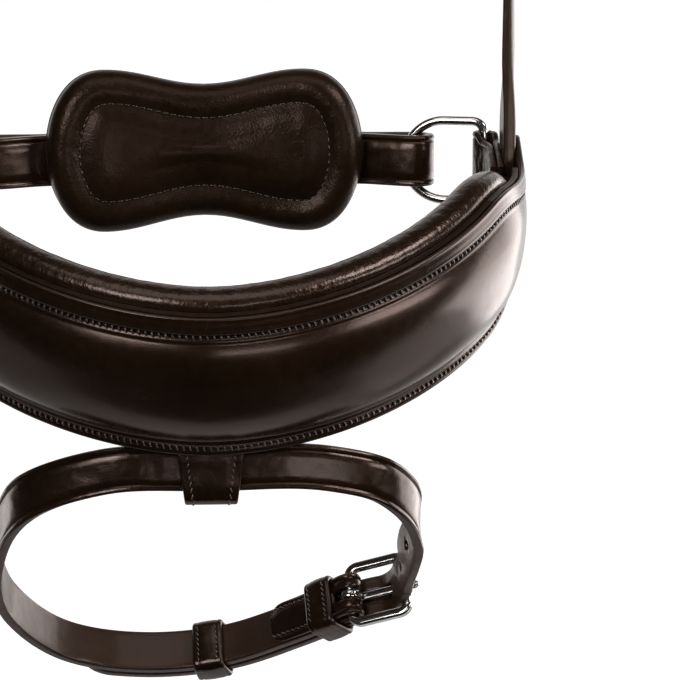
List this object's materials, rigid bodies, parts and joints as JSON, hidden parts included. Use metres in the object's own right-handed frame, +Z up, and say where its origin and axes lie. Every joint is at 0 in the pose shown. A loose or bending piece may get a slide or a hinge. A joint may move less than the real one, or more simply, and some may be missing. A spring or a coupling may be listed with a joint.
{
  "type": "noseband",
  "caption": "Padded leather crank noseband with a head strap, a padded chin strap on D rings and a buckled flash strap.",
  "frame": {"origin": "middle of the underside of the head strap's crown, where it rests on the horse's poll", "axes": "+Z up as worn, -Y towards the horse's muzzle so the front of the nosepiece faces -Y, +X to the horse's near (left) side"},
  "size_m": [0.1937, 0.1373, 0.6321],
  "materials": {
    "bridle_leather": "finished dark brown bridle leather, semi-gloss, with darker dressed edges",
    "filler_leather": "skived filler leather, matte, hidden inside",
    "lining_leather": "dark brown lining leather, satin",
    "padding_leather": "soft dark brown cover leather over foam, satin with fine grain",
    "padding_foam": "closed-cell foam, matte, hidden inside",
    "ring_metal": "stainless steel, polished by use",
    "buckle_metal": "stainless steel, polished"
  },
  "bodies": {
    "nosepiece": {"nosepiece_outer_leather": "bridle_leather", "nosepiece_filler": "filler_leather", "nosepiece_backing": "lining_leather", "nosepiece_padding_foam": "padding_foam", "nosepiece_padding_cover": "padding_leather", "near_ring_loop": "bridle_leather", "off_ring_loop": "bridle_leather", "flash_loop": "bridle_leather", "head_strap": "bridle_leather", "cheek_strap": "bridle_leather", "cheek_buckle_frame": "buckle_metal", "cheek_fixed_keeper": "bridle_leather"},
    "near_ring": {"near_d_ring": "ring_metal"},
    "off_ring": {"off_d_ring": "ring_metal"},
    "chin": {"chin_pad_cover": "padding_leather", "chin_pad_foam": "padding_foam", "chin_pad_backing": "lining_leather", "chin_strap_near": "bridle_leather", "chin_strap_off": "bridle_leather", "crank_buckle_frame": "buckle_metal", "crank_fixed_keeper": "bridle_leather"},
    "crank_tongue": {"crank_buckle_tongue": "buckle_metal"},
    "crank_runner": {"crank_runner": "bridle_leather"},
    "flash": {"flash_strap": "bridle_leather", "flash_buckle_frame": "buckle_metal", "flash_fixed_keeper": "bridle_leather"},
    "flash_tongue": {"flash_buckle_tongue": "buckle_metal"},
    "flash_runner": {"flash_runner": "bridle_leather"},
    "cheek_tongue": {"cheek_buckle_tongue": "buckle_metal"},
    "cheek_runner": {"cheek_runner": "bridle_leather"}
  },
  "joints": [
    {"name": "near_ring_swing", "type": "hinge", "parent": "nosepiece", "child": "near_ring", "pos_m": [0.085, 0.0122, -0.4698], "axis": [0, 0, 1], "range_deg": [-6, 10]},
    {"name": "chin_swing", "type": "hinge", "parent": "near_ring", "child": "chin", "pos_m": [0.06143, 0.01852, -0.4698], "axis": [0, 0, 1], "range_deg": [-10, 6]},
    {"name": "off_ring_swing", "type": "hinge", "parent": "nosepiece", "child": "off_ring", "pos_m": [-0.085, 0.0122, -0.4698], "axis": [0, 0, 1], "range_deg": [-10, 6]},
    {"name": "flash_swing", "type": "hinge", "parent": "nosepiece", "child": "flash", "pos_m": [0, -0.07321, -0.545], "axis": [1, 0, 0], "range_deg": [-5, 6]},
    {"name": "cheek_tongue_lift", "type": "hinge", "parent": "nosepiece", "child": "cheek_tongue", "pos_m": [0.0891, 0, -0.205], "axis": [0, 1, 0], "range_deg": [0, 8]},
    {"name": "crank_tongue_lift", "type": "hinge", "parent": "chin", "child": "crank_tongue", "pos_m": [-0.002, 0.02724, -0.4698], "axis": [0, 0, 1], "range_deg": [0, 8]},
    {"name": "flash_tongue_lift", "type": "hinge", "parent": "flash", "child": "flash_tongue", "pos_m": [0.0425, -0.02319, -0.59679], "axis": [-0.0915, 0.619, 0.78], "range_deg": [0, 8]},
    {"name": "cheek_runner_slide", "type": "slide", "parent": "nosepiece", "child": "cheek_runner", "axis": [0, 0, 1], "range_m": [-0.015, 0.03]},
    {"name": "crank_runner_slide", "type": "hinge", "parent": "chin", "child": "crank_runner", "pos_m": [0, -0.21075, -0.4698], "axis": [0, 0, 1], "range_deg": [-0.75, 0.75]},
    {"name": "flash_runner_slide", "type": "hinge", "parent": "flash", "child": "flash_runner", "pos_m": [-0.0156, -0.03989, -0.5795], "axis": [0, -0.7193, -0.6947], "range_deg": [-5, 5]}
  ],
  "couplings": [
    {"joint": "chin_swing", "follows": "near_ring_swing", "ratio": -1},
    {"joint": "off_ring_swing", "follows": "near_ring_swing", "ratio": -1}
  ]
}
